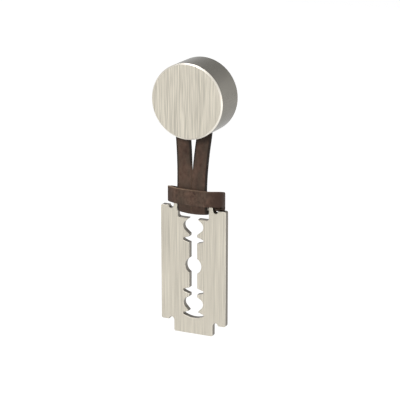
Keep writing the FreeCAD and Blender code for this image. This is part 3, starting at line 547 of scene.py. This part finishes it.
class DROPPULL_OT_strap(bpy.types.Operator):
    """Model the strap as one length, fold it round the bar and part it where its two pieces meet"""
    bl_idname = "drop_pull.strap"
    bl_label = "Add the strap"

    def execute(self, context):
        settings = context.scene.drop_pull_leather
        strap = self.fold_half(settings)
        self.mirror(strap)
        self.settle(strap, settings)
        material = strap_leather(settings)
        strap.data.materials.append(material)
        parting = 29 * MM
        upper = self.part(strap, "strap_tails", -parting, keep_above=True)
        lower = self.part(strap, "strap_hitch", -parting, keep_above=False)
        bpy.data.objects.remove(strap)
        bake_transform(upper, "knob", "strap", (0, FLEX.y, FLEX.z + 2.4 * MM), (0, FLEX.y, FLEX.z - 3.2 * MM))
        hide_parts("strap_end_right", "strap_end_left", "strap_tail_right", "strap_tail_left")
        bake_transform(lower, "strap", "hitch", (0, BAR.y, -parting - 0.5 * MM), (0, BAR.y, -44.5 * MM))
        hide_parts("hitch_wrap_right", "hitch_wrap_left", "hitch_band")
        return {"FINISHED"}

    def fold_half(self, settings):
        """The right half of the strap, from its end in the knob to the middle of the band."""
        here = tail_place(TAIL_TOP, settings)
        strap = strap_section("strap", here, settings)
        bend = BAND_BOX[1].z + 0.3 * MM
        steps = 80
        for step in range(1, steps + 1):
            below = tail_place(TAIL_TOP + (bend - TAIL_TOP) * step / steps, settings)
            step_by(strap, Matrix.Translation(below - here))
            here = below
        run_to(strap, (0, 0, -1), BAR, (0, 0, 1))
        turn(strap, math.pi, BAR, (1, 0, 0), 14)

        # behind the bar it folds outwards, from running up to running sideways
        foot = Vector((settings.seam_gap / 2, (RETURN_PLANE + BACK_PLANE) / 2,
                       BAND_BOX[0].z - settings.sag))
        run_to(strap, (0, 0, 1), foot, (1, 0, -1))
        turn(strap, -math.pi, foot, (1, 0, 1), 10, mark=True)

        # round the side of the tails to the front, which it crosses in a shallow bow
        rear = settings.rear_corner - STRAP_THICKNESS / 2
        rear_centre = Vector((SIDE_PLANE - rear, RETURN_PLANE - rear, 0))
        run_to(strap, (1, 0, 0), rear_centre, (1, 0, 0))
        turn(strap, -math.pi / 2, rear_centre, (0, 0, 1), 7)

        front = settings.front_corner - STRAP_THICKNESS / 2
        set_back = (SIDE_PLANE - settings.sweep_start) * math.tan(settings.sweep)
        side = Vector((SIDE_PLANE, BAND_PLANE + set_back, 0))
        leaning = math.pi / 2 - settings.sweep
        side_centre = side + Vector((-front, front * math.tan(leaning / 2), 0))
        run_to(strap, (0, -1, 0), side_centre, (0, 1, 0))
        turn(strap, -leaning, side_centre, (0, 0, 1), 8)
        forward = Vector((-math.cos(settings.sweep), -math.sin(settings.sweep), 0))
        ease_in = 8.0 * MM
        start = Vector((settings.sweep_start, BAND_PLANE, 0))
        start -= forward * ease_in * math.tan(settings.sweep / 2)
        run_to(strap, forward, start, forward)
        centre = start + ease_in * Vector((forward.y, -forward.x, 0))
        turn(strap, -settings.sweep, centre, (0, 0, 1), 5)
        run_to(strap, (-1, 0, 0), (0, 0, 0), (1, 0, 0))
        bpy.ops.mesh.delete(type="ONLY_FACE")
        bpy.ops.object.mode_set(mode="OBJECT")
        return strap

    def mirror(self, strap):
        """The left half, joined to the right one in the middle of the band."""
        modifier = strap.modifiers.new("left_half", "MIRROR")
        modifier.use_mirror_merge = True
        modifier.merge_threshold = 0.02 * MM
        bpy.ops.object.modifier_apply(modifier="left_half")
        bpy.ops.object.mode_set(mode="EDIT")
        bpy.ops.mesh.select_all(action="SELECT")
        bpy.ops.mesh.remove_doubles(threshold=0.005 * MM)
        bpy.ops.mesh.normals_make_consistent(inside=False)
        bpy.ops.object.mode_set(mode="OBJECT")

    def settle(self, strap, settings):
        """Press the folds down, and let the loop hang down behind, bulge and sit to the right."""
        marks = strap.data.attributes["turned"].data
        loop_top, loop_foot = BAND_BOX[1].z, BAND_BOX[0].z - settings.sag
        front = BAND_BOX[0].y + 2.4 * MM
        for vertex in strap.data.vertices:
            place, turned = vertex.co, marks[vertex.index].value
            # under the bar the strap hangs free in its middle
            if turned == 0 and place.z < BAR.z:
                under = min((BAR.z - place.z) / (1.6 * MM), 1)
                place.z -= under * settings.slack * max(1 - (place.x / STRAP_WIDTH) ** 2, 0)
            if place.z > loop_top + 1.5 * MM or (turned == 0 and place.y < BAR.y):
                continue

            pressed = place.z
            if place.z > BAR.z:
                behind = ease((place.y - BAR.y - 0.9 * MM) / (2.0 * MM))
                pressed = BAR.z + (place.z - BAR.z) * (1 - settings.squash * behind)

            # the sides and the front hang freely, and the folds behind don't
            loose = max(turned, ease((place.z - BAR.z) / (3.5 * MM)))
            if place.y > BAR.y:
                low = min(max(1 - (place.z - loop_foot) / STRAP_WIDTH, 0), 1)
                reach = 9.0 * MM - (3.5 * MM * low if place.x > 0 else 0)
                loose *= ease((abs(place.x) - 4.0 * MM) / reach)
            hanging = self.hanging_height(place, settings)

            # the loop sits to the right, but the folds stay behind the bar
            aside = 1.0
            if place.y >= BAR.y:
                aside = ease((abs(place.x) - STRAP_WIDTH - 0.3 * MM) / (4.6 * MM))
            right = 0.5 + 0.5 * min(max(place.x / SIDE_PLANE, -1), 1)
            shift = settings.left_shift + (settings.right_shift - settings.left_shift) * right
            out = min(abs(place.x), settings.sweep_start) / settings.sweep_start
            place.z = pressed + (hanging - pressed) * loose
            if turned == 1:
                in_front = ease((front + 2.0 * MM - place.y) / (2.0 * MM))
                place.y += in_front * settings.bulge * (out * out - 1)
                place.x += aside * shift

    def hanging_height(self, place, settings):
        """The height of a point of the loop, whose edges hang lower towards the back."""
        across = (place.z - BAND_BOX[0].z + settings.sag) / STRAP_WIDTH
        low_drop, high_drop = settings.right_droop if place.x > 0 else settings.left_droop
        # the outermost right end is tucked up, and nothing hangs into the blade's way
        tucked = 1 - 0.3 * ease((place.x - 12 * MM) / (3 * MM))
        lower = BAND_BOX[0].z - low_drop * tucked * ease((place.y + 10.0 * MM) / (4.8 * MM))
        if place.y > BAR.y:
            lower = max(lower, TILTED_BACK + 0.15 * MM - place.y)
        side_drop = 1.0 * MM
        at_side = ease((place.y + 12.2 * MM) / (4.2 * MM))
        at_back = ease((place.y + 8.2 * MM) / (3.2 * MM))
        upper = BAND_BOX[1].z - side_drop * at_side - (high_drop - side_drop) * at_back
        return lower + (upper - lower) * across

    def part(self, strap, name, height, keep_above):
        """A copy of the strap cut off level at a height."""
        deselect()
        piece = strap.copy()
        piece.data = strap.data.copy()
        piece.name = piece.data.name = name
        bpy.context.scene.collection.objects.link(piece)
        piece.select_set(True)
        bpy.context.view_layer.objects.active = piece
        bpy.ops.object.mode_set(mode="EDIT")
        bpy.ops.mesh.select_all(action="SELECT")
        bpy.ops.mesh.bisect(plane_co=(0, 0, height), plane_no=(0, 0, 1), use_fill=True,
                            clear_inner=keep_above, clear_outer=not keep_above)
        bpy.ops.object.mode_set(mode="OBJECT")
        bpy.ops.object.shade_smooth_by_angle(angle=math.radians(50))
        return piece


class DROPPULL_OT_stage(bpy.types.Operator):
    """Add the floor, the light and the camera"""
    bl_idname = "drop_pull.stage"
    bl_label = "Set the stage"

    def execute(self, context):
        settings = context.scene.drop_pull_stage
        scene = context.scene
        scene.view_settings.view_transform = "Standard"
        self.add_floor()
        self.light_world(scene, settings)
        self.add_lamp("key", (-0.25, -1.05, 0.30), 0.6, 2.0)
        self.add_lamp("right", (0.95, -0.45, -0.15), 0.4, 1.0)
        self.add_lamp("top", (-0.15, -0.30, 0.90), 0.5, 3.0)
        self.add_camera(scene, settings)
        return {"FINISHED"}

    def add_floor(self):
        """A floor far below, that glows softly where the camera or a mirror sees it."""
        drop, glow = 0.35, 0.62
        deselect()
        bpy.ops.mesh.primitive_plane_add(size=6, location=(0, 0, CAD_BOUNDS[0][2] - drop))
        floor = bpy.context.object
        floor.name = floor.data.name = "floor"
        nodes = Nodes(bpy.data.materials.new("pale_floor"))
        rays = nodes.add("LightPath").outputs
        seen = nodes.maths("MAXIMUM", rays["Is Camera Ray"], rays["Is Glossy Ray"])
        seen = nodes.maths("MAXIMUM", seen, rays["Is Transmission Ray"])
        nodes.join(nodes.times(seen, glow), nodes.shader.inputs["Emission Strength"])
        floor.data.materials.append(nodes.finish((0.9, 0.9, 0.9), 0.9, Emission_Color=(1, 1, 1, 1)))

    def light_world(self, scene, settings):
        """A white room, which metal mirrors darker where it lies above and behind the pull."""
        scene.world = bpy.data.worlds.new("studio")
        nodes = Nodes(scene.world)
        nodes.shader.inputs["Color"].default_value = (1, 1, 1, 1)
        direction = nodes.parted("Generated")
        ceiling = nodes.spread(direction["Z"], 0.05, 0.75, 1.0, 0.32, interpolation="SMOOTHSTEP")
        behind = nodes.spread(direction["Y"], -0.45, 0.15, interpolation="SMOOTHSTEP")
        room = nodes.add("Mix", A=1.0)
        nodes.join(behind, room.inputs["Factor"])
        nodes.join(ceiling, room.inputs["B"])
        rays = nodes.add("LightPath").outputs
        strength = nodes.times(rays["Is Glossy Ray"], room.outputs["Result"])
        for other in (rays["Is Camera Ray"], rays["Is Transmission Ray"], settings.ambient):
            strength = nodes.maths("MAXIMUM", strength, other)
        nodes.join(strength, nodes.shader.inputs["Strength"])

    def add_lamp(self, name, place, size, power):
        """A square area lamp that shines on the middle of the pull."""
        deselect()
        bpy.ops.object.light_add(type="AREA", location=place)
        lamp = bpy.context.object
        lamp.name = lamp.data.name = name
        lamp.data.energy = power
        lamp.data.size = size
        target = Vector((0, -0.01, -0.055))
        lamp.rotation_euler = (target - lamp.location).to_track_quat("-Z", "Y").to_euler()

    def add_camera(self, scene, settings):
        """A camera that looks at its target from an angle and a distance."""
        target = Vector((-1.5, 0, -54.755)) * MM
        level = math.cos(settings.elevation)
        outward = Vector((math.sin(settings.azimuth) * level, -math.cos(settings.azimuth) * level,
                          math.sin(settings.elevation)))
        deselect()
        bpy.ops.object.camera_add(location=target + outward * settings.distance)
        camera = bpy.context.object
        camera.name = camera.data.name = "camera"
        camera.rotation_euler = (-outward).to_track_quat("-Z", "Y").to_euler()
        camera.data.lens = settings.focal_length
        camera.data.sensor_width = 36
        camera.data.clip_start = 0.01
        scene.camera = camera


class DROPPULL_PT_panel(bpy.types.Panel):
    """Lists the pieces in the sidebar"""
    bl_idname = "DROPPULL_PT_panel"
    bl_label = "Drop Pull"
    bl_space_type = "VIEW_3D"
    bl_region_type = "UI"
    bl_category = "Drop Pull"

    def draw(self, context):
        scene = context.scene
        for title, settings, operator in (
                ("Metal", scene.drop_pull_metal, "drop_pull.metal"),
                ("Leather", scene.drop_pull_leather, "drop_pull.strap"),
                ("Stage", scene.drop_pull_stage, "drop_pull.stage")):
            box = self.layout.box()
            box.label(text=title)
            for name in settings.__annotations__:
                box.prop(settings, name)
            box.operator(operator)


CLASSES = (LeatherSettings, MetalSettings, StageSettings, DROPPULL_OT_metal, DROPPULL_OT_strap,
           DROPPULL_OT_stage, DROPPULL_PT_panel)


def register():
    for item in CLASSES:
        bpy.utils.register_class(item)
    bpy.types.Scene.drop_pull_leather = PointerProperty(type=LeatherSettings)
    bpy.types.Scene.drop_pull_metal = PointerProperty(type=MetalSettings)
    bpy.types.Scene.drop_pull_stage = PointerProperty(type=StageSettings)


def unregister():
    for name in ("drop_pull_leather", "drop_pull_metal", "drop_pull_stage"):
        delattr(bpy.types.Scene, name)
    for item in reversed(CLASSES):
        bpy.utils.unregister_class(item)


def main():
    register()
    bpy.ops.drop_pull.metal()
    bpy.ops.drop_pull.strap()
    bpy.ops.drop_pull.stage()


if __name__ == "__main__":
    main()
